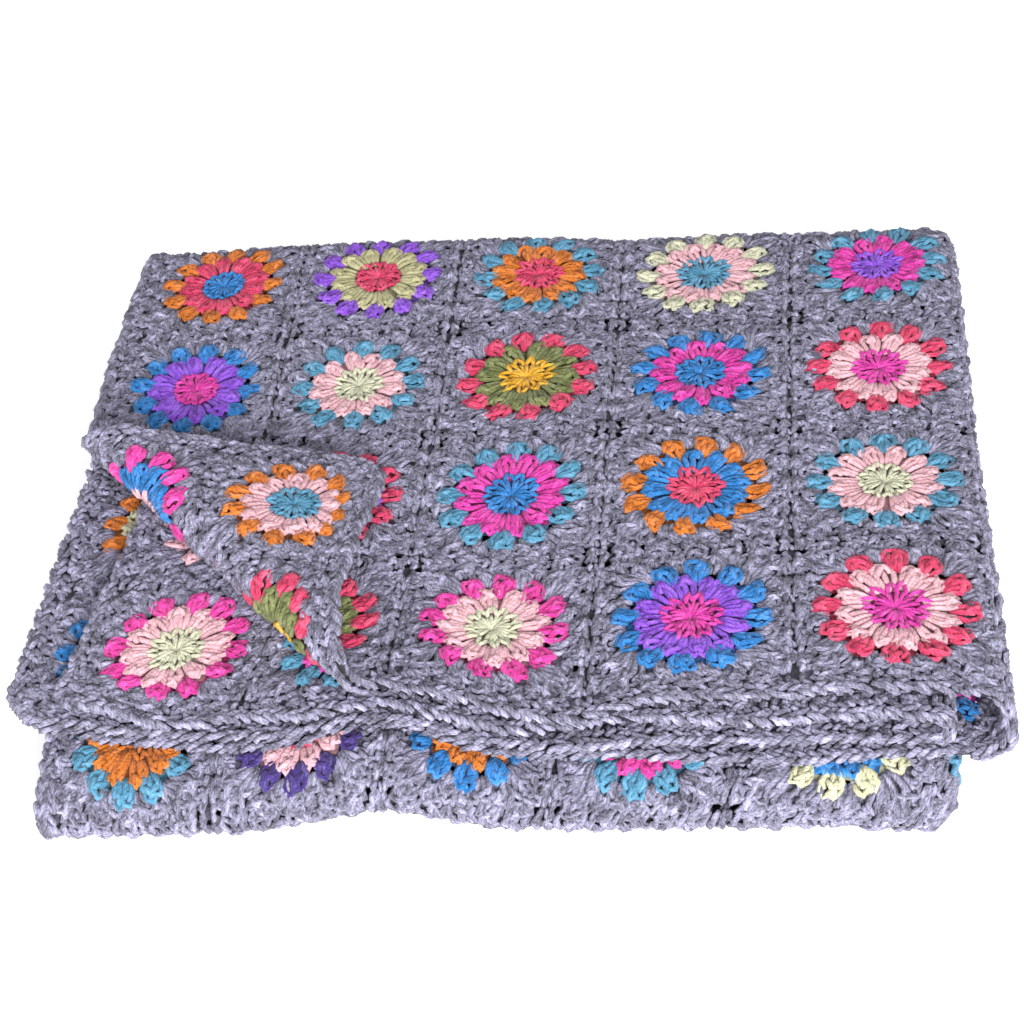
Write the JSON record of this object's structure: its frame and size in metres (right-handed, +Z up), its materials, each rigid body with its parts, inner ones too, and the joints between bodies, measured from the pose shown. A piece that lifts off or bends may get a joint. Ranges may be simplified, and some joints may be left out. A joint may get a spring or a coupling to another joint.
{
  "type": "granny square blanket",
  "caption": "Crocheted blanket of joined granny squares, folded into a flat pile of layers with a corner of the top layer turned back.",
  "frame": {"origin": "middle of the folded pile's box, at the surface that it lies on", "axes": "+X to the side with the folded loops, +Y to the back bend, +Z up out of the pile"},
  "size_m": [0.6214, 0.5103, 0.1007],
  "materials": {
    "yarn": "heathered grey yarn, matt and slightly fuzzy, with bright rounds in each square"
  },
  "bodies": {
    "root": {"blanket": "yarn"}
  },
  "joints": []
}
